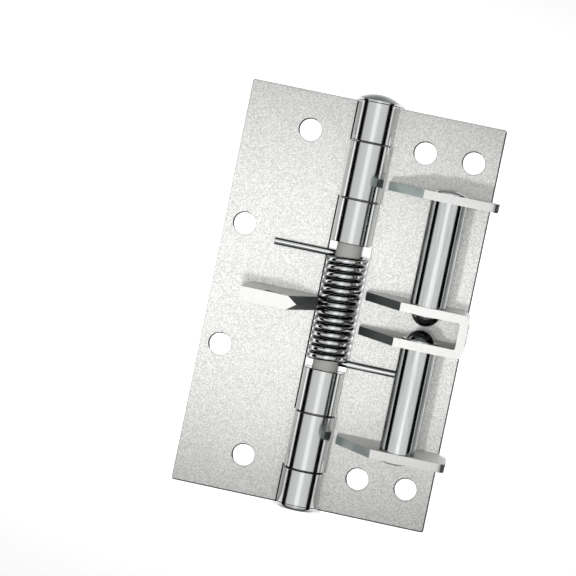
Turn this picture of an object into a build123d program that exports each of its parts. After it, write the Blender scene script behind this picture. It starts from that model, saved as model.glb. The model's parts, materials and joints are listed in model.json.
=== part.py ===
from build123d import *
from math import asin, cos, radians, sin, sqrt
import os

# Spring loaded door hinge with a two-ball hold-open catch, sizes in millimetres.
# Drawn about the pin axis, half way along the leaves, then moved as one piece so that
# the origin is the middle of the frame leaf's four screws, on the leaf's back face.
# +X points from the pin to the frame leaf's outer edge, +Y along the pin to its head,
# +Z out of the mounting face, towards the knuckle side.
# The hinge is drawn open flat, which is the door-closed position.

# Leaves
leaf_length = 127.0          # along the pin
leaf_reach = 40.0            # pin axis to a leaf's outer edge
sheet = 2.3                  # leaf sheet thickness
leaf_edge_round = 0.6        # rolled-over front edge left by the blanking die
leaf_corner_round = 0.8      # corners of the leaf seen from the front
barrel_gap = 0.25            # leaf's inner edge to the side of the other leaf's knuckle
back_offset = 0.4            # knuckles stand this far in front of the back plane

# Pin and knuckles
pin_diameter = 7.8
pin_clearance = 0.05         # radial running fit of pin in knuckle
knuckle_seam_angle = 40.0    # where the rolled sheet ends, below the leaf side
knuckle_gap = 0.3            # axial play between neighbouring knuckles
knuckle_edge_break = 0.2     # chamfer round each knuckle's ends
end_knuckle_inner_y = 51.3   # boundary between end knuckle and the next one
mid_knuckle_inner_y = 33.5   # boundary between second knuckle and the inner one
window_half_height = 19.8    # inner knuckles end here, the coil spring sits between
barrel_top_over = 0.3        # top knuckle stands this far past the leaf
pin_head_diameter = 13.2
pin_head_rim = 0.5
pin_head_dome = 2.0
pin_head_seat = 0.05         # head to the top knuckle
pin_end_chamfer = 0.6

# Cap that closes the barrel's lower end
end_cap_thickness = 1.5
end_cap_round = 1.3
end_cap_over = 0.3           # cap stands this far past the leaf
end_cap_spigot = 3.0
end_cap_pin_gap = 0.2

# Torsion spring
spring_wire = 2.2
spring_mean_diameter = 10.5
spring_whole_turns = 14
spring_pitch = 2.31
spring_centre_y = -0.6
spring_leg_reach = 23.2      # pin axis to the end of a leg
spring_exit_angle = 40.0     # a leg leaves the coil this far past its back
spring_leg_bend = 3.0        # bend radius on the wire's centre line
spring_leg_seat = 0.05       # leg to the leaf's front face
spring_knee_swell = 0.04     # the wire swells this much where a leg is bent off

# Screw holes
screw_hole_diameter = 6.8
screw_hole_round = 0.5
frame_screw_edge = 8.0       # outer column of frame screws to the leaf's outer edge
frame_screw_spacing = 15.2   # between the two columns
end_screw_edge = 12.0        # end screws to the leaf's end
door_end_screw_edge = 20.6   # door leaf's end screws to its outer edge
door_mid_screw_edge = 6.5    # door leaf's middle screws to its outer edge
door_mid_screw_spacing = 38.2

# Ears and bracket that carry the ball tubes
ear_thickness = 2.6
ear_height = 28.0            # above the leaf's front face
ear_heel_x = 8.1             # ear's end nearest the pin
ear_heel_height = 9.0
ear_slope_end_x = 19.5
ear_overhang = 2.3           # outer ears stand this far past the leaf's edge
ear_bulge_start = 4.0
ear_bulge_full = 9.5
ear_corner_round = 3.4
ear_jog_round = 2.5
outer_ear_inner_y = 38.4
slot_width = 8.1             # between the bracket's two inner ears
web_overhang = 0.6           # bracket's web past the leaf's edge
bracket_bend_round = 2.0
bracket_inner_round = 0.6
rivet_head_diameter = 7.4
rivet_head_height = 1.5
rivet_head_rim = 0.2
rivet_shank_diameter = 4.0
rivet_height = 14.0          # rivet axis above the leaf's front face
rivet_clearance = 0.05

# Staked tenons that hold ears, bracket and tongue in the leaves
tenon_length = 8.0
tenon_clearance = 0.05
ear_tenon_heel = 7.4         # ear's heel to its first tenon's middle
ear_tenon_edge = 8.5         # leaf's edge to the second tenon's middle
tongue_tenon_length = 5.5
tongue_tenon_x = (-23.0, -13.0)

# Ball catch
ball_diameter = 9.0
ball_gap = 1.2               # between the two balls at rest
ball_clearance = 0.05        # radial, ball in tube
tube_wall = 0.9
tube_rim_proud = 0.3         # tube mouth past the inner ear's face
tube_cover = 1.1             # ear material left in front of the tube
tube_clearance = 0.05        # radial, tube in ear
catch_x = 27.3               # pin axis to ball axis, along X
detent_wire = 1.1
detent_mean_diameter = 7.4
detent_turns = 8
detent_seat = 0.08
plug_dome = 1.35
plug_rim = 0.3
plug_spigot = 4.0
plug_clearance = 0.05

# Catch tongue on the door leaf
tongue_thickness = 4.2
tongue_far_x = -27.9
tongue_ligament = 0.7        # material left between the ball hole and the tip
tongue_ridge_x = -10.6       # leading ridge at the tip
tongue_nose_x = -5.3         # where the leading ridge ends
tongue_nose_height = 17.0    # of that end above the leaf's front face
tongue_foot_x = -7.4
tongue_bevel = 2.8           # width of each bevel, square to the ridge
tongue_bevel_runout = 8.0
tongue_hole_diameter = 7.0
tongue_hole_chamfer = 0.25

# Sizes that follow from those above
pin_radius = pin_diameter / 2
bore_radius = pin_radius + pin_clearance
knuckle_radius = bore_radius + sheet
back_z = -(knuckle_radius + back_offset)
front_z = back_z + sheet
leaf_inner_x = knuckle_radius + barrel_gap
half_length = leaf_length / 2
barrel_top_y = half_length + barrel_top_over
barrel_bottom_y = -(half_length + end_cap_over)
ball_radius = ball_diameter / 2
tube_inner_radius = ball_radius + ball_clearance
tube_radius = tube_inner_radius + tube_wall
catch_z = front_z + ear_height - tube_cover - tube_radius
ball_rest_y = ball_gap / 2 + ball_radius
slot_half = slot_width / 2
tube_mouth_y = slot_half - tube_rim_proud
outer_ear_outer_y = outer_ear_inner_y + ear_thickness
ear_bulge_x = leaf_reach + ear_overhang
web_outer_x = leaf_reach + web_overhang
web_inner_x = web_outer_x - ear_thickness
ear_tenon_x = (ear_heel_x + ear_tenon_heel, leaf_reach - ear_tenon_edge)
outer_screw_x = leaf_reach - frame_screw_edge
frame_screw_columns = (outer_screw_x - frame_screw_spacing, outer_screw_x)
mount_x = sum(frame_screw_columns) / 2
end_screw_y = half_length - end_screw_edge
door_end_screw_x = leaf_reach - door_end_screw_edge
door_mid_screw_x = leaf_reach - door_mid_screw_edge
door_mid_screw_y = door_mid_screw_spacing / 2
tongue_hole_radius = tongue_hole_diameter / 2
tongue_tip_z = catch_x + tongue_hole_radius + tongue_ligament
spring_radius = spring_mean_diameter / 2
wire_radius = spring_wire / 2

os.makedirs("parts", exist_ok=True)


def save(name, solid):
    export_step(Pos(-mount_x, 0, -back_z) * solid, "parts/" + name + ".step")


def prism(face, low_y, high_y):
    """Extrude a face drawn in X and Z from low_y to high_y."""
    body = extrude(Plane.XZ * face, amount=-(high_y - low_y))
    return Pos(0, low_y, 0) * body


def cylinder_y(radius, low_y, high_y, x=0.0, z=0.0):
    """Round bar along Y."""
    return Pos(x, 0, z) * prism(Circle(radius), low_y, high_y)


def block(low, high):
    """Box from its lowest and highest corners."""
    size = [b - a for a, b in zip(low, high)]
    middle = [(a + b) / 2 for a, b in zip(low, high)]
    return Pos(*middle) * Box(*size)


def front_edges(solid, z):
    """Edges that lie wholly at the height z."""
    return [e for e in solid.edges()
            if abs(e.bounding_box().min.Z - z) < 0.001 and abs(e.bounding_box().max.Z - z) < 0.001]


def flip_x(solid):
    return mirror(solid, about=Plane.YZ)


def knuckle(low_y, high_y):
    """Rolled end of the sheet, for a leaf that lies to +X."""
    seam = radians(knuckle_seam_angle)
    far = 2 * knuckle_radius
    ring = Circle(knuckle_radius) - Circle(bore_radius)
    seam_end = (far * cos(seam), -far * sin(seam))
    open_corner = Polygon((0, 0), seam_end, (far, -2 * far), (0, -2 * far), align=None)
    joggle_start = 0.25 * knuckle_radius
    joggle_end = 0.75 * knuckle_radius
    root = leaf_inner_x + 2 * leaf_edge_round
    tail = Polygon(
        (0, -bore_radius),
        (0, -knuckle_radius),
        (joggle_start, -knuckle_radius),
        (joggle_end, back_z),
        (root, back_z),
        (root, front_z),
        (joggle_end, front_z),
        (joggle_start, -bore_radius),
        align=None,
    )
    roll = prism(ring - open_corner, low_y, high_y)
    ends = [e for e in roll.edges().filter_by(GeomType.CIRCLE)
            if abs(e.radius - knuckle_radius) < 0.01 and e.bounding_box().size.Y < 0.01]
    return chamfer(ends, knuckle_edge_break) + prism(tail, low_y, high_y)


def leaf_plate(holes, slots):
    """Flat sheet of a leaf that lies to +X, with rounded front edges."""
    width = leaf_reach - leaf_inner_x
    plate = Pos(leaf_inner_x + width / 2, 0, back_z + sheet / 2) * Box(width, leaf_length, sheet)
    outer = [e for e in plate.edges().filter_by(Axis.Z) if e.center().X > leaf_inner_x + width / 2]
    plate = fillet(outer, leaf_corner_round)
    plate = fillet(front_edges(plate, front_z), leaf_edge_round)
    for x, y in holes:
        drill = Pos(x, y, back_z + sheet / 2) * Cylinder(screw_hole_diameter / 2, 2 * sheet)
        plate -= drill
    rims = [e for e in front_edges(plate, front_z)
            if e.geom_type == GeomType.CIRCLE and e.length > screw_hole_diameter]
    plate = fillet(rims, screw_hole_round)
    for low, high in slots:
        plate -= block((low[0], low[1], back_z - 1), (high[0], high[1], front_z + 1))
    return plate


def with_knuckles(plate, spans):
    for low_y, high_y in spans:
        plate += knuckle(low_y, high_y)
    return plate


def tenon_slots(xs, length, low_y, high_y):
    c = tenon_clearance
    return [((x - length / 2 - c, low_y - c), (x + length / 2 + c, high_y + c)) for x in xs]


def tenons(xs, length, low_y, high_y):
    return [block((x - length / 2, low_y, back_z), (x + length / 2, high_y, front_z)) for x in xs]


# Knuckle spans, top half listed, bottom half mirrored
play = knuckle_gap / 2
end_knuckle = (end_knuckle_inner_y + play, barrel_top_y)
second_knuckle = (mid_knuckle_inner_y + play, end_knuckle_inner_y - play)
inner_knuckle = (window_half_height, mid_knuckle_inner_y - play)
lowest_knuckle = (barrel_bottom_y + end_cap_thickness, -end_knuckle[0])


def mirrored(span):
    return (-span[1], -span[0])


# Frame leaf: four knuckles, four screw holes, slots for ears and bracket
ear_bands = [
    (outer_ear_inner_y, outer_ear_outer_y),
    (slot_half, slot_half + ear_thickness),
    (-slot_half - ear_thickness, -slot_half),
    (-outer_ear_outer_y, -outer_ear_inner_y),
]
frame_holes = [(x, y) for x in frame_screw_columns for y in (end_screw_y, -end_screw_y)]
frame_slots = []
for low_y, high_y in ear_bands:
    frame_slots += tenon_slots(ear_tenon_x, tenon_length, low_y, high_y)
frame_leaf = with_knuckles(
    leaf_plate(frame_holes, frame_slots),
    [end_knuckle, inner_knuckle, mirrored(inner_knuckle), lowest_knuckle],
)
save("frame_leaf", frame_leaf)

# Door leaf: two knuckles, four screw holes, slots for the tongue; drawn to +X and mirrored
tongue_half = tongue_thickness / 2
door_holes = [(door_end_screw_x, end_screw_y), (door_end_screw_x, -end_screw_y)]
door_holes += [(door_mid_screw_x, door_mid_screw_y), (door_mid_screw_x, -door_mid_screw_y)]
door_slots = tenon_slots([-x for x in tongue_tenon_x], tongue_tenon_length, -tongue_half, tongue_half)
door_plate = leaf_plate(door_holes, door_slots)
door_leaf = flip_x(with_knuckles(door_plate, [second_knuckle, mirrored(second_knuckle)]))
save("door_leaf", door_leaf)


def domed_disc(radius, rim, dome):
    """Disc with a rim and a spherical top, its flat side on the XZ plane, rising along +Y."""
    sphere = (radius ** 2 + dome ** 2) / (2 * dome)
    half = asin(radius / sphere) / 2
    mid = (sphere * sin(half), rim + dome - sphere * (1 - cos(half)))
    top = rim + dome
    outline = Polyline((0, 0), (radius, 0), (radius, rim))
    outline += ThreePointArc((radius, rim), mid, (0, top))
    outline += Line((0, top), (0, 0))
    return revolve(make_face(outline), axis=Axis.Y)


# Pin with its domed head
pin_low_y = lowest_knuckle[0] + end_cap_spigot + end_cap_pin_gap
shank = cylinder_y(pin_radius, pin_low_y, barrel_top_y + pin_head_seat)
shank = chamfer(shank.edges().filter_by(GeomType.CIRCLE).sort_by(Axis.Y)[0], pin_end_chamfer)
head = domed_disc(pin_head_diameter / 2, pin_head_rim, pin_head_dome)
head = Pos(0, barrel_top_y + pin_head_seat, 0) * head
save("hinge_pin", shank + head)

# Cap pressed into the lowest knuckle
cap = cylinder_y(knuckle_radius, barrel_bottom_y, lowest_knuckle[0])
cap = fillet(cap.edges().filter_by(GeomType.CIRCLE).sort_by(Axis.Y)[0], end_cap_round)
cap += cylinder_y(pin_radius, lowest_knuckle[0], lowest_knuckle[0] + end_cap_spigot)
save("barrel_end_cap", cap)


def coil(wire, radius, pitch, height):
    """Helical wire about Y, starting on +X at y = 0."""
    path = Helix(pitch=pitch, height=height, radius=radius)
    start = Plane(origin=path @ 0, z_dir=path % 0)
    return Rot(-90, 0, 0) * sweep(start * Circle(wire), path=path, is_frenet=True)


def spring_leg(side, y):
    """Leg that leaves the back of the coil and lies along the leaf, for side = +1 or -1."""
    turn = radians(spring_exit_angle)
    leg_z = front_z + wire_radius + spring_leg_seat
    leave = Vector(side * spring_radius * sin(turn), -spring_radius * cos(turn))
    rise = (leg_z - leave.Y) / sin(turn)
    bend = Vector(leave.X + side * rise * cos(turn), leg_z)
    path = Plane.XZ * FilletPolyline(leave, bend, (side * spring_leg_reach, leg_z), radius=spring_leg_bend)
    path = Pos(0, y, 0) * path
    start = Plane(origin=path @ 0, z_dir=path % 0)
    knee = Pos(*(path @ 0)) * Sphere(wire_radius + spring_knee_swell)
    return sweep(start * Circle(wire_radius), path=path) + knee


# Torsion spring: one wire, coil and two legs
spring_turns = spring_whole_turns + 2 * spring_exit_angle / 360
spring_height = spring_turns * spring_pitch
spring_low_y = spring_centre_y - spring_height / 2
spring_high_y = spring_centre_y + spring_height / 2
torsion_spring = Pos(0, spring_low_y, 0) * Rot(0, 90 - spring_exit_angle, 0) * coil(
    wire_radius, spring_radius, spring_pitch, spring_height)
torsion_spring += spring_leg(1, spring_low_y)
torsion_spring += spring_leg(-1, spring_high_y)
save("torsion_spring", torsion_spring)


def ear_outline(right_points):
    """Ear seen along the pin: heel near the pin, slope, flat top, then the right-hand end."""
    return Polygon(
        (ear_heel_x, front_z),
        *right_points,
        (ear_slope_end_x, front_z + ear_height),
        (ear_heel_x, front_z + ear_heel_height),
        align=None,
    )


def tube_hole(low_y, high_y):
    return cylinder_y(tube_radius + tube_clearance, low_y - 1, high_y + 1, catch_x, catch_z)


# Outer ears
bulge_points = (
    (leaf_reach, front_z),
    (leaf_reach, front_z + ear_bulge_start),
    (ear_bulge_x, front_z + ear_bulge_full),
    (ear_bulge_x, front_z + ear_height),
)


def outer_ear(low_y, high_y):
    ear = prism(ear_outline(bulge_points), low_y, high_y)
    corner = [e for e in ear.edges().filter_by(Axis.Y)
              if e.center().X > ear_bulge_x - 0.1 and e.center().Z > front_z + ear_bulge_full + 1]
    ear = fillet(corner, ear_corner_round)
    jogs = [e for e in ear.edges().filter_by(Axis.Y) if e.center().X > leaf_reach - 0.1
            and front_z + 1 < e.center().Z < front_z + ear_bulge_full + 0.1]
    ear = fillet(jogs, ear_jog_round)
    for tenon in tenons(ear_tenon_x, tenon_length, low_y, high_y):
        ear += tenon
    return ear - tube_hole(low_y, high_y)


save("upper_tube_ear", outer_ear(outer_ear_inner_y, outer_ear_outer_y))
save("lower_tube_ear", outer_ear(-outer_ear_outer_y, -outer_ear_inner_y))

# Bracket: one folded strip, two inner ears joined by the web at the leaf's outer edge
bracket_half = slot_half + ear_thickness
web_points = ((web_outer_x, front_z), (web_outer_x, front_z + ear_height))
bracket = prism(ear_outline(web_points), -bracket_half, bracket_half)
bends = [e for e in bracket.edges().filter_by(Axis.Z) if e.center().X > web_outer_x - 0.1]
bracket = fillet(bends, bracket_bend_round)
slot = block((ear_heel_x - 1, -slot_half, back_z), (web_inner_x, slot_half, front_z + ear_height + 1))
inner_bends = [e for e in slot.edges().filter_by(Axis.Z) if e.center().X > web_inner_x - 0.1]
slot = fillet(inner_bends, bracket_inner_round)
bracket -= slot
for low_y, high_y in (ear_bands[1], ear_bands[2]):
    for tenon in tenons(ear_tenon_x, tenon_length, low_y, high_y):
        bracket += tenon
    bracket -= tube_hole(low_y, high_y)
rivet_z = front_z + rivet_height
shank_radius = rivet_shank_diameter / 2
rivet_hole = Rot(0, 90, 0) * Cylinder(shank_radius + rivet_clearance, 4 * ear_thickness)
bracket -= Pos(web_outer_x, 0, rivet_z) * rivet_hole
save("catch_bracket", bracket)

# Rivet in the web, domed head outside and flush inside
rivet_dome = rivet_head_height - rivet_head_rim
rivet = Rot(0, 0, -90) * domed_disc(rivet_head_diameter / 2, rivet_head_rim, rivet_dome)
rivet = Pos(web_outer_x, 0, rivet_z) * rivet
rivet_shank = Rot(0, 90, 0) * Cylinder(shank_radius, ear_thickness)
rivet += Pos(web_outer_x - ear_thickness / 2, 0, rivet_z) * rivet_shank
save("bracket_rivet", rivet)

# One half of the ball catch, drawn above the slot and mirrored for the lower half
tube = cylinder_y(tube_radius, tube_mouth_y, outer_ear_outer_y, catch_x, catch_z)
tube -= cylinder_y(tube_inner_radius, ball_rest_y, outer_ear_outer_y + 1, catch_x, catch_z)
tube -= Pos(catch_x, ball_rest_y, catch_z) * Sphere(tube_inner_radius)
ball = Pos(catch_x, ball_rest_y, catch_z) * Sphere(ball_radius)

plug_radius = tube_inner_radius - plug_clearance
plug = cylinder_y(plug_radius, outer_ear_outer_y - plug_spigot, outer_ear_outer_y, catch_x, catch_z)
plug += Pos(catch_x, outer_ear_outer_y, catch_z) * domed_disc(tube_radius, plug_rim, plug_dome - plug_rim)

detent_radius = detent_mean_diameter / 2
detent_wire_radius = detent_wire / 2
detent_low_y = ball_rest_y + sqrt((ball_radius + detent_wire_radius) ** 2 - detent_radius ** 2) + detent_seat
detent_high_y = outer_ear_outer_y - plug_spigot - detent_wire_radius - detent_seat
detent_height = detent_high_y - detent_low_y
detent = Pos(catch_x, detent_low_y, catch_z) * coil(
    detent_wire_radius, detent_radius, detent_height / detent_turns, detent_height)

for name, solid in (("tube", tube), ("ball", ball), ("end_plug", plug), ("detent_spring", detent)):
    save("upper_" + name, solid)
    save("lower_" + name, mirror(solid, about=Plane.XZ))

# Catch tongue
tongue_nose_z = front_z + tongue_nose_height
tongue = prism(
    Polygon(
        (tongue_far_x, front_z),
        (tongue_foot_x, front_z),
        (tongue_nose_x, tongue_nose_z),
        (tongue_ridge_x, tongue_tip_z),
        (tongue_far_x, tongue_tip_z),
        align=None,
    ),
    -tongue_half,
    tongue_half,
)
ridge = Vector(tongue_ridge_x - tongue_nose_x, 0, tongue_tip_z - tongue_nose_z)
ridge_dir = ridge.normalized()
inward = Vector(-ridge_dir.Z, 0, ridge_dir.X)
grind_start = Vector(tongue_nose_x, 0, tongue_nose_z) - ridge_dir * tongue_bevel_runout
grind_plane = Plane(origin=grind_start, x_dir=inward, z_dir=ridge_dir)
deep = 1.5
grind_end = (deep * tongue_bevel, deep * tongue_half)
grind = Polygon((-1, 0), (0, 0), grind_end, (-1, deep * tongue_half), align=None)
grind_length = ridge.length + 2 * tongue_bevel_runout
cutter = extrude(grind_plane * grind, amount=grind_length)
tongue -= cutter
tongue -= mirror(cutter, about=Plane.XZ)
tongue -= cylinder_y(tongue_hole_radius, -tongue_thickness, tongue_thickness, -catch_z, catch_x)
circles = tongue.edges().filter_by(GeomType.CIRCLE)
hole_rims = [e for e in circles if abs(e.radius - tongue_hole_radius) < 0.01]
tongue = chamfer(hole_rims, tongue_hole_chamfer)
for tenon in tenons(tongue_tenon_x, tongue_tenon_length, -tongue_half, tongue_half):
    tongue += tenon
save("catch_tongue", tongue)
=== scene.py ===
import json
import math

import bpy
from mathutils import Matrix, Vector


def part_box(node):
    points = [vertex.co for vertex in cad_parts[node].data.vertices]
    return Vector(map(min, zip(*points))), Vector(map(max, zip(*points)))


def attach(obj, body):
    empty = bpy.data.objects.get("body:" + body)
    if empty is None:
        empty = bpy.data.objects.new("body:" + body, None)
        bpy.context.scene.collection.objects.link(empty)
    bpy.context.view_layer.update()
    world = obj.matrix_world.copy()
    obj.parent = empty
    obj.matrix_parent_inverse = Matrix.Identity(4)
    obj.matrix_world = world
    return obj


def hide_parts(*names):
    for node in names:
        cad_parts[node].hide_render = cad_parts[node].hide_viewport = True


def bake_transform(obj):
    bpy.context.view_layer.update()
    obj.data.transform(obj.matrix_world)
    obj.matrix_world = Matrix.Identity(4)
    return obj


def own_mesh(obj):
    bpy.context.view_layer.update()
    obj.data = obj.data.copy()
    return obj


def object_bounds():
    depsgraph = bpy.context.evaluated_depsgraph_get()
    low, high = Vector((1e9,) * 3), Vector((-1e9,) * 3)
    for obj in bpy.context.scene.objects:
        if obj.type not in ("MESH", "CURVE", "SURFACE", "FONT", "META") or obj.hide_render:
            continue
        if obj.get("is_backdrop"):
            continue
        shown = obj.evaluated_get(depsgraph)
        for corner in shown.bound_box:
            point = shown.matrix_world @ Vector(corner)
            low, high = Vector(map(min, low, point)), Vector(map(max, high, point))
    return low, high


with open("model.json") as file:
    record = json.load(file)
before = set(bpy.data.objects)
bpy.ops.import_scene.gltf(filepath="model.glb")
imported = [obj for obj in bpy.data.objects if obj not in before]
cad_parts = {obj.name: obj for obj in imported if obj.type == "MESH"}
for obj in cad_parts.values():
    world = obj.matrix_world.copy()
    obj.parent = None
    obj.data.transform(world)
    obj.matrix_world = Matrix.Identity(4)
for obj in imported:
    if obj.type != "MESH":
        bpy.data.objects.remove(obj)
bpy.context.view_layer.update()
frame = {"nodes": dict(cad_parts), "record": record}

MM = 0.001

# Sizes shared with the solids, in millimetres and degrees
PIN_X = -24.4
PIN_Z = 6.65
LEAF_FRONT_Z = 2.3
SPRING_WIRE = 2.2
SPRING_MEAN_RADIUS = 5.25
SPRING_PITCH = 2.31
SPRING_WHOLE_TURNS = 14
SPRING_CENTRE_Y = -0.6
SPRING_EXIT_ANGLE = 40.0
SPRING_LEG_REACH = 23.2
SPRING_LEG_BEND = 3.0
SPRING_LEG_SEAT = 0.05
DETENT_WIRE = 1.1
DETENT_MEAN_RADIUS = 3.7
DETENT_TURNS = 8

# How finely the springs are divided: sides round the wire, steps in a turn and in a bend
SPRING_SIDES = 24
SPRING_STEPS = 48
DETENT_SIDES = 12
DETENT_STEPS = 32
BEND_STEPS = 8

# Extra rings near a leg's end and its bend keep the straight part's shading even, in millimetres
LEG_END_STEP = 0.1
LEG_BEND_LEAD = 0.5

# Camera, solved from the photograph, in millimetres and degrees
CAMERA_AT = (13.9, 52.5, 850.0)
CAMERA_TARGET = (-40.7, 2.25, 2.3)
CAMERA_ROLL = 11.69
CAMERA_LENS = 171.9
CAMERA_SENSOR = 36.0

# Lamps, and the pool of light at which both aim, in millimetres
KEY_AT = (-30.0, -16.0, 340.0)
FRONT_AT = (-5.0, 40.0, 1100.0)
POOL_CENTRE = (-45.0, 5.0, 0.0)
POOL_STRETCH = 2.2

# Studio walls: (angle from straight above in degrees, brightness)
ACROSS = [(-180, 0.4), (-92, 0.4), (-89, 0.0), (-64, 0.0), (-58, 0.6), (-14, 0.68), (-6, 1.0),
          (10, 1.0), (18, 0.7), (58, 0.62), (64, 0.0), (89, 0.0), (92, 0.4), (180, 0.4)]
ALONG = [(-180, 0.8), (-92, 0.8), (-89, 0.02), (-66, 0.02), (-58, 0.5), (-26, 0.6), (-16, 1.0),
         (12, 1.0), (22, 0.6), (58, 0.5), (66, 0.02), (89, 0.02), (92, 0.8), (180, 0.8)]

# Strength of the studio in mirrors, and as diffuse light
STUDIO_LEVEL = 1.45
FILL_LEVEL = 0.75

# Floor in metres, and the soft edges of the strip under the barrel in millimetres
FLOOR_SIZE = 6
FLOOR_Z = -0.0001
FLOOR_GREY = 0.80
FLOOR_LIFT = 0.66
STRIP_HALF_WIDTH = (6.6, 8.0)
STRIP_HALF_LENGTH = (63.0, 66.0)

# Ways that a face points
UP = (0.0, 1.0, 0.0)
DOWN = (0.0, -1.0, 0.0)
LEFT = (-1.0, 0.0, 0.0)
RIGHT = (1.0, 0.0, 0.0)
RIGHT_AND_DOWN = (0.7, -0.7, 0.0)

# Cosines between which a face that turns that way takes on its painted shade
HOLE_RIM_SHADE = (0.12, 0.3)
KNUCKLE_END = (0.3, 0.5)
EAR_BEVEL = (0.45, 0.75)
DOME = (0.45, 0.65)
WIRE_FLANK = (0.5, 0.7)
WIRE_SIDE = (0.75, 0.9)
TUBE_SIDE = (0.7, 0.8)
TONGUE_BEVEL = (0.35, 0.6)

# Where the barrel's finish ends, from the pin's axis, and the shank's, along Y, in millimetres
BARREL_LIMIT = (6.35, 6.45)
SHANK_LIMIT = (63.6, 63.7)

LEAF_STEEL = (0.64, 0.64, 0.625)
BARREL_STEEL = (0.56, 0.575, 0.565)
SHANK_STEEL = (0.215, 0.212, 0.200)
EAR_STEEL = (0.57, 0.57, 0.557)
TONGUE_STEEL = (0.53, 0.53, 0.52)
WIRE_STEEL = (0.66, 0.68, 0.68)
TUBE_STEEL = (0.58, 0.60, 0.59)
# The balls' steel is darkened to paint the dark reflections they show in their slot
BALL_STEEL_PAINTED_DARK = (0.13, 0.135, 0.14)
# Painted shade: colours laid on faces by the way they point, in place of shade and dark reflections
PAINTED_BEVEL_SHADE = (0.20, 0.232, 0.226)
PAINTED_SHADE_GREY = (0.08, 0.086, 0.085)
PAINTED_DEEP_SHADE = (0.02, 0.024, 0.024)

# Grain and unevenness, alike in all the steels; the slow patches also make the painted shade uneven
GRAIN_CONTRAST = (0.3, 0.7)
LIGHT_GRAIN_SHARE = 0.7
PATCH_SCALE = 90.0
PATCH_CONTRAST = (0.35, 0.65)
SHADE_PATCH_GAIN = 1.7
LEAST_ROUGHNESS = 0.02

# Sockets of a mix node by its kind of data: first value, second value, result
MIX_SOCKETS = {"FLOAT": (2, 3, 0), "RGBA": (6, 7, 2)}


def add(tree, kind, **settings):
    """New node; a setting with the name of an input sets that input."""
    node = tree.nodes.new(kind)
    for key, value in settings.items():
        if key in node.inputs:
            node.inputs[key].default_value = value
        else:
            setattr(node, key, value)
    return node


def feed(tree, socket, source):
    """Join an output to the socket, or set the socket to a number, a vector or a colour."""
    if isinstance(source, bpy.types.NodeSocket):
        tree.links.new(source, socket)
    elif socket.type == "RGBA":
        socket.default_value = (*source, 1)
    else:
        socket.default_value = source


def calculate(tree, operation, *sources):
    node = add(tree, "ShaderNodeMath", operation=operation)
    for socket, source in zip(node.inputs, sources):
        feed(tree, socket, source)
    return node.outputs["Value"]


def calculate_vector(tree, operation, first, second, result):
    node = add(tree, "ShaderNodeVectorMath", operation=operation)
    feed(tree, node.inputs[0], first)
    feed(tree, node.inputs[1], second)
    return node.outputs[result]


def mix(tree, data_type, factor, first, second, blend_type="MIX"):
    """From first to second as the factor goes from 0 to 1, for numbers (FLOAT) or colours (RGBA)."""
    first_socket, second_socket, result = MIX_SOCKETS[data_type]
    node = add(tree, "ShaderNodeMix", data_type=data_type, blend_type=blend_type)
    feed(tree, node.inputs[0], factor)
    feed(tree, node.inputs[first_socket], first)
    feed(tree, node.inputs[second_socket], second)
    return node.outputs[result]


def band(tree, value, start, end):
    """0 below start, 1 above end, smooth between them."""
    node = add(tree, "ShaderNodeMapRange", interpolation_type="SMOOTHSTEP")
    feed(tree, node.inputs["Value"], value)
    feed(tree, node.inputs["From Min"], start)
    feed(tree, node.inputs["From Max"], end)
    return node.outputs["Result"]


def split(tree, vector):
    """The vector's X, Y and Z."""
    node = add(tree, "ShaderNodeSeparateXYZ")
    feed(tree, node.inputs["Vector"], vector)
    return node.outputs


def new_material(name):
    material = bpy.data.materials.new(name)
    material.use_nodes = True
    tree = material.node_tree
    return material, tree, tree.nodes["Principled BSDF"]


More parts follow.
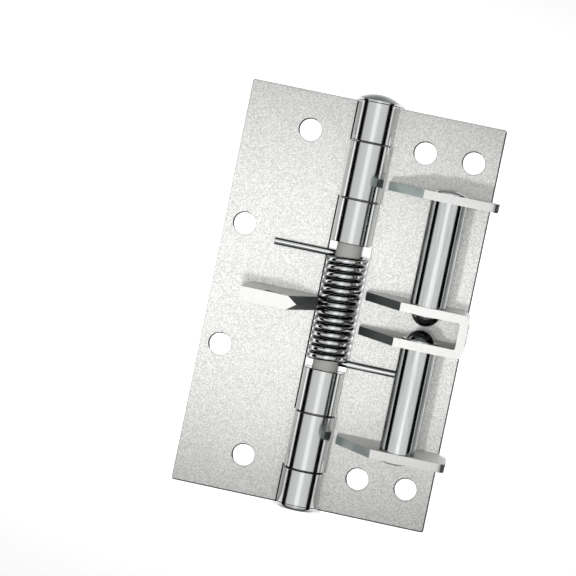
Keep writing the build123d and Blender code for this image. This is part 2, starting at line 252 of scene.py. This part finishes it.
def metal(name, color, roughness, metallic, grain, uneven, grain_size=0.5, stretch=(1, 1, 1),
          region=None, painted_shades=(), region_painted_shades=()):
    """Steel with a fine procedural grain and a slow unevenness in its gloss.

    grain and uneven are how far the colour and the roughness vary; a grain is about grain_size millimetres.
    region gives another finish up to a limit: (measure, limit, colour, roughness, metallic). The measure is
    X, Y or Z, or PIN for the distance from the pin's axis.
    tints paint shade and dark reflections onto faces by the way they point: (direction, cosines, colour);
    slow patches make this painted shade uneven.
    region_painted_shades paint such shade in the region, where tints then have no effect.
    """
    material, tree, shader = new_material(name)
    place = add(tree, "ShaderNodeTexCoord")
    position = place.outputs["Object"]
    mapping = add(tree, "ShaderNodeMapping", Scale=stretch)
    feed(tree, mapping.inputs["Vector"], position)
    fine = add(tree, "ShaderNodeTexNoise", Scale=1000.0 / grain_size, Detail=3.0, Roughness=0.7)
    feed(tree, fine.inputs["Vector"], mapping.outputs["Vector"])
    slow = add(tree, "ShaderNodeTexNoise", Scale=PATCH_SCALE, Detail=2.0)
    feed(tree, slow.inputs["Vector"], position)
    spread = add(tree, "ShaderNodeMapRange")
    feed(tree, spread.inputs["Value"], slow.outputs["Fac"])
    feed(tree, spread.inputs["To Min"], max(LEAST_ROUGHNESS, roughness - uneven))
    feed(tree, spread.inputs["To Max"], roughness + uneven)
    rough = spread.outputs["Result"]
    dark_grain = tuple(c * (1 - grain) for c in color)
    light_grain = tuple(min(1.0, c * (1 + LIGHT_GRAIN_SHARE * grain)) for c in color)
    tint = mix(tree, "RGBA", band(tree, fine.outputs["Fac"], *GRAIN_CONTRAST), dark_grain, light_grain)
    if region:
        measure, limit, near_color, near_rough, near_metallic = region
        if measure == "PIN":
            flat = calculate_vector(tree, "MULTIPLY", position, (1.0, 0.0, 1.0), "Vector")
            value = calculate_vector(tree, "DISTANCE", flat, (PIN_X * MM, 0.0, PIN_Z * MM), "Value")
        else:
            value = split(tree, position)[measure]
        beyond = band(tree, value, limit[0] * MM, limit[1] * MM)
        tint = mix(tree, "RGBA", beyond, near_color, tint)
        rough = mix(tree, "FLOAT", beyond, near_rough, rough)
        metallic = mix(tree, "FLOAT", beyond, near_metallic, metallic)
    patch = band(tree, slow.outputs["Fac"], *PATCH_CONTRAST)
    for inside, rows in ((False, painted_shades), (True, region_painted_shades)):
        for toward, cosines, dark in rows:
            facing = calculate_vector(tree, "DOT_PRODUCT", place.outputs["Normal"], toward, "Value")
            turned = band(tree, facing, *cosines)
            if inside:
                turned = mix(tree, "FLOAT", beyond, turned, 0.0)
            elif region_painted_shades:
                turned = mix(tree, "FLOAT", beyond, 0.0, turned)
            # Painted shade, a little lighter in the slow patches
            patchy_shade = mix(tree, "RGBA", patch, dark, tuple(min(1.0, SHADE_PATCH_GAIN * c) for c in dark))
            tint = mix(tree, "RGBA", turned, tint, patchy_shade)
    feed(tree, shader.inputs["Base Color"], tint)
    feed(tree, shader.inputs["Roughness"], rough)
    feed(tree, shader.inputs["Metallic"], metallic)
    return material


def ear_steel(name, *painted_shades):
    return metal(name, EAR_STEEL, 0.5, 0.35, grain=0.08, uneven=0.05, painted_shades=painted_shades)


def tube_along(name, points, radius, sides, material):
    """Smooth round wire through a list of points in millimetres, with closed ends."""
    rows = []
    normal = None
    for i, point in enumerate(points):
        ahead = points[min(i + 1, len(points) - 1)]
        behind = points[max(i - 1, 0)]
        tangent = (ahead - behind).normalized()
        if normal is None:
            normal = tangent.orthogonal().normalized()
        normal = (normal - tangent * normal.dot(tangent)).normalized()
        side = tangent.cross(normal)
        rows.append([point + radius * (math.cos(a) * normal + math.sin(a) * side)
                     for a in (2 * math.pi * k / sides for k in range(sides))])
    vertices = [p * MM for row in rows for p in row]
    faces = []
    for i in range(len(rows) - 1):
        for k in range(sides):
            n = (k + 1) % sides
            faces.append((i * sides + k, i * sides + n, (i + 1) * sides + n, (i + 1) * sides + k))
    faces.append(tuple(reversed(range(sides))))
    last = (len(rows) - 1) * sides
    faces.append(tuple(range(last, last + sides)))
    mesh = bpy.data.meshes.new(name)
    mesh.from_pydata(vertices, [], faces)
    mesh.polygons.foreach_set("use_smooth", [len(f) == 4 for f in faces])
    mesh.materials.append(material)
    obj = bpy.data.objects.new(name, mesh)
    bpy.context.scene.collection.objects.link(obj)
    return obj


def helix_points(radius, low_y, high_y, turns, start_angle, centre_x, centre_z, steps):
    """Right-handed coil about Y with so many steps in a turn; the angle is measured from +Z towards +X."""
    count = int(turns * steps)
    points = []
    for i in range(count + 1):
        t = i / count
        angle = start_angle + 2 * math.pi * turns * t
        x = centre_x + radius * math.sin(angle)
        y = low_y + (high_y - low_y) * t
        z = centre_z + radius * math.cos(angle)
        points.append(Vector((x, y, z)))
    return points


def leg_points(side, y):
    """Wire centre line from the leg's free end to the coil, on side +1 or -1."""
    turn = math.radians(SPRING_EXIT_ANGLE)
    leg_z = LEAF_FRONT_Z + SPRING_WIRE / 2 + SPRING_LEG_SEAT
    leave_x = SPRING_MEAN_RADIUS * math.sin(turn)
    leave_z = PIN_Z - SPRING_MEAN_RADIUS * math.cos(turn)
    rise = leg_z - leave_z
    corner_x = leave_x + rise / math.tan(turn)
    trim = SPRING_LEG_BEND * math.tan(turn / 2)
    start_x = corner_x + trim
    straight = (SPRING_LEG_REACH, SPRING_LEG_REACH - LEG_END_STEP, start_x + LEG_BEND_LEAD, start_x)
    points = [Vector((PIN_X + side * x, y, leg_z)) for x in straight]
    for i in range(1, BEND_STEPS + 1):
        a = turn * i / BEND_STEPS
        x = start_x - SPRING_LEG_BEND * math.sin(a)
        z = leg_z - SPRING_LEG_BEND * (1 - math.cos(a))
        points.append(Vector((PIN_X + side * x, y, z)))
    return points


def studio_band(tree, side, up, levels):
    """Brightness by the angle from straight above towards one side."""
    share = add(tree, "ShaderNodeMapRange")
    feed(tree, share.inputs["Value"], calculate(tree, "ARCTAN2", side, up))
    feed(tree, share.inputs["From Min"], -math.pi)
    feed(tree, share.inputs["From Max"], math.pi)
    walls = add(tree, "ShaderNodeValToRGB")
    feed(tree, walls.inputs["Fac"], share.outputs["Result"])
    elements = walls.color_ramp.elements
    while len(elements) < len(levels):
        elements.new(0.5)
    for element, (degrees, level) in zip(elements, levels):
        element.position = (degrees + 180) / 360
        element.color = (level, level, level, 1)
    return walls.outputs["Color"]


def aim(obj, at, target, roll=0.0):
    """Point a lamp or camera down its own -Z at the target, its top turned by roll from +Y."""
    turn = math.radians(roll)
    forward = (Vector(target) - Vector(at)).normalized()
    right = forward.cross(Vector((-math.sin(turn), math.cos(turn), 0))).normalized()
    up = right.cross(forward)
    obj.location = Vector(at) * MM
    obj.rotation_mode = "QUATERNION"
    obj.rotation_quaternion = Matrix((right, up, -forward)).transposed().to_quaternion()


def spot_light(name, at, size, power, pool_angle):
    """Soft-edged lamp whose pool of light fades towards the hinge's two ends; mirrors don't show the lamp.

    size is the lamp's radius in metres, power is in watts and pool_angle in degrees.
    """
    data = bpy.data.lights.new(name, "SPOT")
    data.shadow_soft_size = size
    data.energy = power
    data.spot_size = math.radians(pool_angle)
    data.spot_blend = 1.0
    lamp = bpy.data.objects.new(name, data)
    bpy.context.scene.collection.objects.link(lamp)
    aim(lamp, at, POOL_CENTRE)
    lamp.scale = (POOL_STRETCH, 1, 1)
    lamp.visible_glossy = False
    lamp.visible_camera = False


# Painted shade and painted reflections in the tints below: leaf faces turned right and down (hole rims and
# edges), knuckle ends, ear and tongue bevels, pin and plug domes, wire flanks and sides, tube sides
MATERIALS = {
    "leaf_steel": metal(
        "satin_leaf", LEAF_STEEL, 0.55, 0.4, grain=0.34, uneven=0.04, grain_size=0.36,
        region=("PIN", BARREL_LIMIT, BARREL_STEEL, 0.13, 1.0),
        painted_shades=((RIGHT_AND_DOWN, HOLE_RIM_SHADE, PAINTED_DEEP_SHADE),),
        region_painted_shades=((UP, KNUCKLE_END, PAINTED_SHADE_GREY), (DOWN, KNUCKLE_END, PAINTED_SHADE_GREY))),
    "ear_steel": ear_steel("bright_ear", (LEFT, EAR_BEVEL, PAINTED_DEEP_SHADE)),
    "pin_steel": metal(
        "dull_pin", BARREL_STEEL, 0.15, 1.0, grain=0.06, uneven=0.03, grain_size=0.6,
        region=("Y", SHANK_LIMIT, SHANK_STEEL, 0.6, 0.1),
        painted_shades=((UP, DOME, PAINTED_SHADE_GREY),)),
    "barrel_trim": metal(
        "polished_trim", BARREL_STEEL, 0.15, 1.0, grain=0.05, uneven=0.03,
        painted_shades=((UP, DOME, PAINTED_SHADE_GREY), (DOWN, DOME, PAINTED_SHADE_GREY))),
    "spring_wire": metal(
        "spring_wire", WIRE_STEEL, 0.10, 1.0, grain=0.05, uneven=0.03,
        painted_shades=((UP, WIRE_FLANK, PAINTED_DEEP_SHADE), (DOWN, WIRE_FLANK, PAINTED_DEEP_SHADE),
               (LEFT, WIRE_SIDE, PAINTED_SHADE_GREY), (RIGHT, WIRE_SIDE, PAINTED_SHADE_GREY))),
    "tube_steel": metal(
        "polished_tube", TUBE_STEEL, 0.12, 1.0, grain=0.14, uneven=0.04, stretch=(1, 0.04, 1),
        painted_shades=((LEFT, TUBE_SIDE, PAINTED_SHADE_GREY), (RIGHT, TUBE_SIDE, PAINTED_SHADE_GREY))),
    "ball_steel": metal("polished_ball", BALL_STEEL_PAINTED_DARK, 0.04, 1.0, grain=0.04, uneven=0.01),
    "tongue_steel": metal(
        "ground_tongue", TONGUE_STEEL, 0.5, 0.3, grain=0.06, uneven=0.05,
        painted_shades=((RIGHT, TONGUE_BEVEL, PAINTED_DEEP_SHADE),)),
}
# Outer ears: both bevels take painted shade, the left one lighter
OUTER_EAR = ear_steel("outer_ear", (LEFT, EAR_BEVEL, PAINTED_BEVEL_SHADE), (RIGHT, EAR_BEVEL, PAINTED_DEEP_SHADE))

slots = {row["node"]: row["material_slot"] for row in frame["record"]["subparts"]}
for name, obj in frame["nodes"].items():
    obj.data.materials.clear()
    obj.data.materials.append(OUTER_EAR if name.endswith("tube_ear") else MATERIALS[slots[name]])

# Torsion spring: one wire, with a leg on each of the two leaves
turns = SPRING_WHOLE_TURNS + 2 * SPRING_EXIT_ANGLE / 360
half = turns * SPRING_PITCH / 2
spring_low = SPRING_CENTRE_Y - half
spring_high = SPRING_CENTRE_Y + half
coil = helix_points(SPRING_MEAN_RADIUS, spring_low, spring_high, turns,
                    math.radians(180 - SPRING_EXIT_ANGLE), PIN_X, PIN_Z, SPRING_STEPS)
wire = leg_points(1, spring_low) + coil + list(reversed(leg_points(-1, spring_high)))
torsion = tube_along("torsion_spring_wire", wire, SPRING_WIRE / 2, SPRING_SIDES, MATERIALS["spring_wire"])
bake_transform(torsion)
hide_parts("torsion_spring")

# Detent springs inside the tubes, as coils of wire in place of the solids' springs
for place in ("upper", "lower"):
    node = place + "_detent_spring"
    low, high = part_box(node)
    mid = (low + high) / 2 / MM
    low_y = low.y / MM + DETENT_WIRE / 2
    high_y = high.y / MM - DETENT_WIRE / 2
    points = helix_points(DETENT_MEAN_RADIUS, low_y, high_y, DETENT_TURNS,
                          math.pi / 2, mid.x, mid.z, DETENT_STEPS)
    spring = tube_along(place + "_detent_coil", points, DETENT_WIRE / 2, DETENT_SIDES,
                        MATERIALS["spring_wire"])
    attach(spring, "frame_side")
    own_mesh(spring)
    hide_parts(node)

# Floor: brightened where it is seen, but not under the barrel, so that the gaps at the knuckles stay dark
bpy.ops.mesh.primitive_plane_add(size=FLOOR_SIZE, location=(0, 0, FLOOR_Z))
floor = bpy.context.object
floor.name = "floor"
material, tree, shader = new_material("pale_floor")
feed(tree, shader.inputs["Base Color"], (FLOOR_GREY, FLOOR_GREY, FLOOR_GREY))
feed(tree, shader.inputs["Roughness"], 0.9)
feed(tree, shader.inputs["Specular IOR Level"], 0.0)
rays = add(tree, "ShaderNodeLightPath").outputs
seen = calculate(tree, "MAXIMUM", rays["Is Camera Ray"], rays["Is Glossy Ray"])
seen = calculate(tree, "MAXIMUM", seen, rays["Is Transmission Ray"])
position = split(tree, add(tree, "ShaderNodeTexCoord").outputs["Object"])
across = calculate(tree, "ABSOLUTE", calculate(tree, "ADD", position["X"], -PIN_X * MM))
along = calculate(tree, "ABSOLUTE", position["Y"])
beside = band(tree, across, STRIP_HALF_WIDTH[0] * MM, STRIP_HALF_WIDTH[1] * MM)
past_ends = band(tree, along, STRIP_HALF_LENGTH[0] * MM, STRIP_HALF_LENGTH[1] * MM)
clear = calculate(tree, "MAXIMUM", beside, past_ends)
lift = calculate(tree, "MULTIPLY", calculate(tree, "MULTIPLY", seen, clear), FLOOR_LIFT)
feed(tree, shader.inputs["Emission Color"], (1, 1, 1))
feed(tree, shader.inputs["Emission Strength"], lift)
floor.data.materials.append(material)
floor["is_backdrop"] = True

# World: a bright tent overhead with a dark band above the floor
world = bpy.data.worlds.new("studio")
bpy.context.scene.world = world
world.use_nodes = True
tree = world.node_tree
background = tree.nodes["Background"]
direction = split(tree, add(tree, "ShaderNodeTexCoord").outputs["Generated"])
tent_across = studio_band(tree, direction["X"], direction["Z"], ACROSS)
tent_along = studio_band(tree, direction["Y"], direction["Z"], ALONG)
feed(tree, background.inputs["Color"], mix(tree, "RGBA", 1.0, tent_across, tent_along, "MULTIPLY"))
diffuse = add(tree, "ShaderNodeLightPath").outputs["Is Diffuse Ray"]
strength = calculate(tree, "MULTIPLY_ADD", diffuse, FILL_LEVEL - STUDIO_LEVEL, STUDIO_LEVEL)
feed(tree, background.inputs["Strength"], strength)

spot_light("key", KEY_AT, size=0.008, power=3.8, pool_angle=27.0)
spot_light("front", FRONT_AT, size=0.06, power=46.0, pool_angle=8.2)

camera_data = bpy.data.cameras.new("camera")
camera = bpy.data.objects.new("camera", camera_data)
bpy.context.scene.collection.objects.link(camera)
bpy.context.scene.camera = camera
camera_data.sensor_width = CAMERA_SENSOR
camera_data.lens = CAMERA_LENS
camera_data.clip_start = 0.05
camera_data.clip_end = 20.0
aim(camera, CAMERA_AT, CAMERA_TARGET, CAMERA_ROLL)

bpy.context.scene.view_settings.view_transform = "Standard"

low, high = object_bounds()
